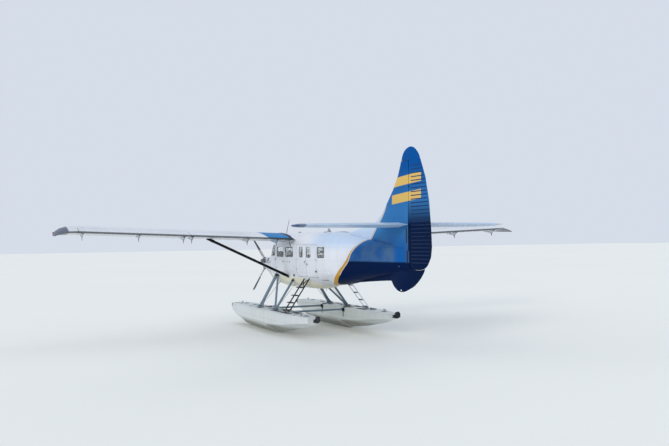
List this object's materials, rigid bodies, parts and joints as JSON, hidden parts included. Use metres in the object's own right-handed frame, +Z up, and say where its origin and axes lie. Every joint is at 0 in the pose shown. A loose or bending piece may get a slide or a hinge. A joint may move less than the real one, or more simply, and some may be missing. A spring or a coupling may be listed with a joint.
{
  "type": "floatplane",
  "caption": "High-wing single-engine turboprop floatplane with strut-braced wing, hollow cabin with opening doors, tall fin and twin floats on V struts.",
  "frame": {"origin": "middle of the aircraft's length and width, at the float keels", "axes": "+X forward to the nose, +Y to port, +Z up"},
  "size_m": [13.49, 17.69, 5.82],
  "materials": {
    "airframe_white": "gloss",
    "belly_cream": "gloss",
    "strut_black": "satin",
    "glazing": "gloss",
    "bare_metal": "polished",
    "engine_metal": "satin",
    "dark_metal": "satin",
    "tail_blue": "gloss",
    "tail_white": "gloss",
    "tail_navy": "gloss",
    "float_grey": "satin",
    "gear_grey": "satin",
    "seat_cloth": "matte",
    "panel_black": "matte"
  },
  "bodies": {
    "airframe": {"wing_left": "airframe_white", "wing_right": "airframe_white", "cabin_roof": "airframe_white", "cabin_side_left": "airframe_white", "cabin_side_right": "airframe_white", "windscreen_frame": "airframe_white", "cowling": "airframe_white", "cabin_floor": "belly_cream", "wing_strut_left": "strut_black", "wing_strut_right": "strut_black", "cockpit_window_left": "glazing", "cockpit_window_right": "glazing", "rear_window_left": "glazing", "rear_window_right": "glazing", "cabin_window_right": "glazing", "windscreen_left": "glazing", "windscreen_right": "glazing", "quarter_window_left": "glazing", "quarter_window_right": "glazing", "firewall": "bare_metal", "engine": "engine_metal", "ladder_left": "dark_metal", "fin": "tail_blue", "tailplane": "tail_white", "rear_fuselage": "tail_navy", "ventral_fin": "tail_navy", "float_left": "float_grey", "float_right": "float_grey", "float_struts_left": "gear_grey", "float_struts_right": "gear_grey", "spreader_bar_front": "gear_grey", "spreader_bar_rear": "gear_grey", "ladder_right": "gear_grey", "pilot_seat_left": "seat_cloth", "pilot_seat_right": "seat_cloth", "passenger_seats": "seat_cloth", "instrument_panel": "panel_black"},
    "propeller_body": {"propeller": "dark_metal", "spinner": "bare_metal"},
    "rudder_body": {"rudder": "tail_blue"},
    "elevator_body": {"elevator": "tail_white"},
    "flap_left_body": {"flap_left": "airframe_white"},
    "flap_right_body": {"flap_right": "airframe_white"},
    "aileron_left_body": {"aileron_left": "airframe_white"},
    "aileron_right_body": {"aileron_right": "airframe_white"},
    "crew_door_left_body": {"crew_door_left": "airframe_white", "crew_door_left_glass": "glazing"},
    "crew_door_right_body": {"crew_door_right": "airframe_white", "crew_door_right_glass": "glazing"},
    "cabin_door_front_body": {"cabin_door_front": "airframe_white", "cabin_door_front_glass": "glazing"},
    "cabin_door_rear_body": {"cabin_door_rear": "airframe_white", "cabin_door_rear_glass": "glazing"},
    "cabin_door_right_body": {"cabin_door_right": "airframe_white", "cabin_door_right_glass": "glazing"},
    "water_rudder_left_body": {"water_rudder_left": "dark_metal"},
    "water_rudder_right_body": {"water_rudder_right": "dark_metal"}
  },
  "joints": [
    {"name": "propeller_spin", "type": "hinge", "parent": "airframe", "child": "propeller_body", "pos_m": [6.415, 0, 2.32], "axis": [1, 0, 0], "continuous": true},
    {"name": "rudder_turn", "type": "hinge", "parent": "airframe", "child": "rudder_body", "pos_m": [-5.675, 0, 4], "axis": [0, 0, 1], "range_deg": [-25, 25]},
    {"name": "elevator_turn", "type": "hinge", "parent": "airframe", "child": "elevator_body", "pos_m": [-5.205, 0, 3.64], "axis": [0, 1, 0], "range_deg": [-15, 25]},
    {"name": "flap_left_turn", "type": "hinge", "parent": "airframe", "child": "flap_left_body", "pos_m": [1.595, 0.79, 3.16], "axis": [0, -0.9991, -0.0419], "range_deg": [0, 40]},
    {"name": "flap_right_turn", "type": "hinge", "parent": "airframe", "child": "flap_right_body", "pos_m": [1.595, -0.79, 3.16], "axis": [0, -0.9991, 0.0419], "range_deg": [0, 40]},
    {"name": "aileron_left_turn", "type": "hinge", "parent": "airframe", "child": "aileron_left_body", "pos_m": [1.595, 0.79, 3.16], "axis": [0, -0.9991, -0.0419], "range_deg": [-20, 20]},
    {"name": "aileron_right_turn", "type": "hinge", "parent": "airframe", "child": "aileron_right_body", "pos_m": [1.595, -0.79, 3.16], "axis": [0, -0.9991, 0.0419], "range_deg": [-20, 20]},
    {"name": "crew_door_left_swing", "type": "hinge", "parent": "airframe", "child": "crew_door_left_body", "pos_m": [3.228, 0.81, 2.5], "axis": [0, 0, -1], "range_deg": [0, 80]},
    {"name": "crew_door_right_swing", "type": "hinge", "parent": "airframe", "child": "crew_door_right_body", "pos_m": [3.228, -0.81, 2.5], "axis": [0, 0, 1], "range_deg": [0, 80]},
    {"name": "cabin_door_front_swing", "type": "hinge", "parent": "airframe", "child": "cabin_door_front_body", "pos_m": [1.068, 0.81, 2.5], "axis": [0, 0, -1], "range_deg": [0, 90]},
    {"name": "cabin_door_rear_swing", "type": "hinge", "parent": "airframe", "child": "cabin_door_rear_body", "pos_m": [-0.668, 0.81, 2.5], "axis": [0, 0, 1], "range_deg": [0, 90]},
    {"name": "cabin_door_right_swing", "type": "hinge", "parent": "airframe", "child": "cabin_door_right_body", "pos_m": [0.198, -0.81, 2.5], "axis": [0, 0, 1], "range_deg": [0, 90]},
    {"name": "water_rudder_left_steer", "type": "hinge", "parent": "airframe", "child": "water_rudder_left_body", "pos_m": [-1.945, 1.42, 0.69], "axis": [0, 0, 1], "range_deg": [-30, 30]},
    {"name": "water_rudder_right_steer", "type": "hinge", "parent": "airframe", "child": "water_rudder_right_body", "pos_m": [-1.945, -1.42, 0.69], "axis": [0, 0, 1], "range_deg": [-30, 30]}
  ],
  "couplings": [
    {"joint": "flap_right_turn", "follows": "flap_left_turn", "ratio": 1},
    {"joint": "aileron_right_turn", "follows": "aileron_left_turn", "ratio": -1},
    {"joint": "water_rudder_right_steer", "follows": "water_rudder_left_steer", "ratio": 1}
  ]
}
